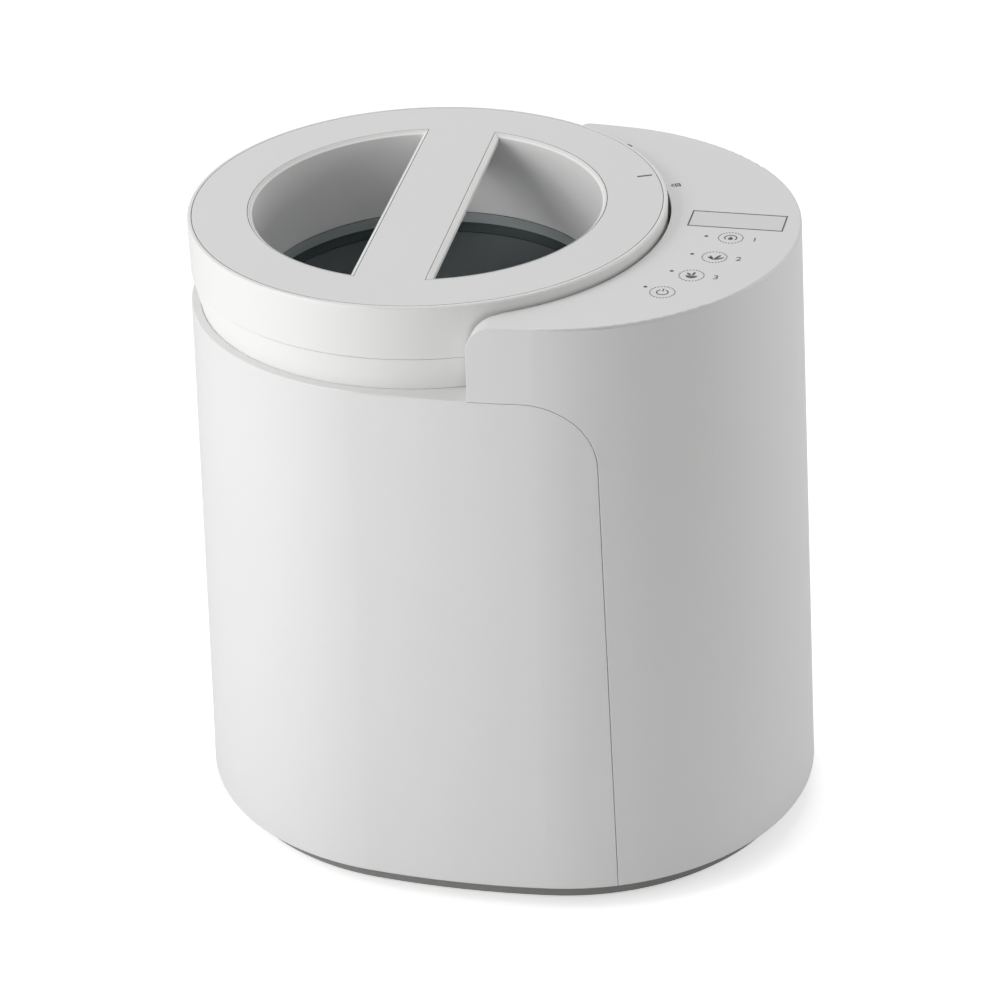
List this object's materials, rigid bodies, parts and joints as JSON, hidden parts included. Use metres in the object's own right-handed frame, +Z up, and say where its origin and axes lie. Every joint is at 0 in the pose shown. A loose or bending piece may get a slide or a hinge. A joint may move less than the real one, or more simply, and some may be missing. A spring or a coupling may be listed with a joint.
{
  "type": "electric food waste composter",
  "caption": "Oval countertop composter with a twist-off round lid with finger wells and glass, a raised touch panel, a heated pot with lift-out bucket and blade, and a rear filter drawer.",
  "frame": {"origin": "on the surface it stands on, under the middle of the housing", "axes": "+X to the control panel's end, +Y to the back, +Z up"},
  "size_m": [0.3093, 0.2508, 0.316],
  "materials": {
    "shell_white": "satin moulded ABS",
    "lid_white": "satin moulded ABS",
    "base_grey": "matt",
    "deck_white": "fine matt",
    "inner_black": "matt",
    "gear_white": "matt",
    "glass_smoke": "polished",
    "window_clear": "gloss",
    "silicone_grey": "matt",
    "rubber_black": "matt",
    "bucket_coated": "matt non-stick coating",
    "pot_aluminium": "drawn",
    "blade_steel": "cast and blasted",
    "steel": "machined",
    "zinc_steel": "zinc plated",
    "brass": "machined",
    "magnet": "nickel plated",
    "board_green": "lacquered",
    "lamp_block": "matt",
    "charcoal": "rough"
  },
  "bodies": {
    "housing": {"wrap_shell": "shell_white", "head_housing": "shell_white", "base_tray": "base_grey", "foot_pads": "rubber_black", "base_screws": "zinc_steel", "top_deck": "deck_white", "heated_pot": "pot_aluminium", "heater_plate": "pot_aluminium", "heater_band": "silicone_grey", "thermal_cutout": "inner_black", "pot_stand": "inner_black", "idler_pin": "steel", "motor": "zinc_steel", "gear_case": "inner_black", "gear_cover": "inner_black", "shaft_bearing": "brass", "shaft_seal": "rubber_black", "display_window": "window_clear", "display_module": "lamp_block", "control_board": "board_green", "board_posts": "deck_white", "touch_springs": "inner_black", "lid_sensor": "inner_black", "main_board": "board_green", "air_duct": "inner_black", "blower_case": "inner_black", "filter_bay": "deck_white", "power_inlet": "inner_black"},
    "seal": {"lid_seal": "silicone_grey"},
    "lid": {"lid_shell": "lid_white", "lid_inlay": "lid_white", "glass_frame": "deck_white", "lid_glass": "glass_smoke", "lid_screws": "zinc_steel", "lid_magnet": "magnet"},
    "bucket": {"bucket": "bucket_coated", "blade_bush": "gear_white"},
    "bail": {"bucket_bail": "steel", "bail_grip": "inner_black"},
    "mixer": {"blade": "blade_steel", "blade_coupling": "steel"},
    "drive": {"output_gear": "gear_white", "output_shaft": "steel"},
    "idler": {"idler_gear": "gear_white"},
    "rotor": {"motor_pinion": "brass"},
    "fan": {"blower_wheel": "inner_black"},
    "filter": {"filter_drawer": "shell_white", "filter_cartridge": "charcoal"}
  },
  "joints": [
    {"name": "lid_lift", "type": "slide", "parent": "housing", "child": "seal", "axis": [0, 0, 1], "range_m": [0, 0.44]},
    {"name": "lid_twist", "type": "hinge", "parent": "seal", "child": "lid", "pos_m": [-0.032, 0, 0.26], "axis": [0, 0, 1], "range_deg": [0, 25.3]},
    {"name": "bucket_lift", "type": "slide", "parent": "housing", "child": "bucket", "axis": [0, 0, 1], "range_m": [0, 0.22]},
    {"name": "bail_swing", "type": "hinge", "parent": "bucket", "child": "bail", "pos_m": [-0.032, 0, 0.25], "axis": [0, 1, 0], "range_deg": [0, 90]},
    {"name": "drive_spin", "type": "hinge", "parent": "housing", "child": "drive", "pos_m": [-0.032, 0, 0.03], "axis": [0, 0, 1], "continuous": true},
    {"name": "idler_spin", "type": "hinge", "parent": "housing", "child": "idler", "pos_m": [0.033, 0, 0.025], "axis": [0, 0, 1], "continuous": true},
    {"name": "motor_spin", "type": "hinge", "parent": "housing", "child": "rotor", "pos_m": [0.102, 0, 0.03], "axis": [0, 0, 1], "continuous": true},
    {"name": "blade_spin", "type": "hinge", "parent": "bucket", "child": "mixer", "pos_m": [-0.032, 0, 0.08], "axis": [0, 0, 1], "continuous": true},
    {"name": "fan_spin", "type": "hinge", "parent": "housing", "child": "fan", "pos_m": [0.08757, 0.06741, 0.11], "axis": [0, 0, 1], "continuous": true},
    {"name": "filter_slide", "type": "slide", "parent": "housing", "child": "filter", "axis": [0.6428, 0.766, 0], "range_m": [0, 0.062]}
  ],
  "couplings": [
    {"joint": "bucket_lift", "follows": "lid_lift", "ratio": 0.5},
    {"joint": "bail_swing", "follows": "lid_lift", "rad_per_m": 3.5696},
    {"joint": "idler_spin", "follows": "drive_spin", "ratio": -3.3333},
    {"joint": "motor_spin", "follows": "drive_spin", "ratio": 12},
    {"joint": "blade_spin", "follows": "drive_spin", "ratio": 1}
  ]
}
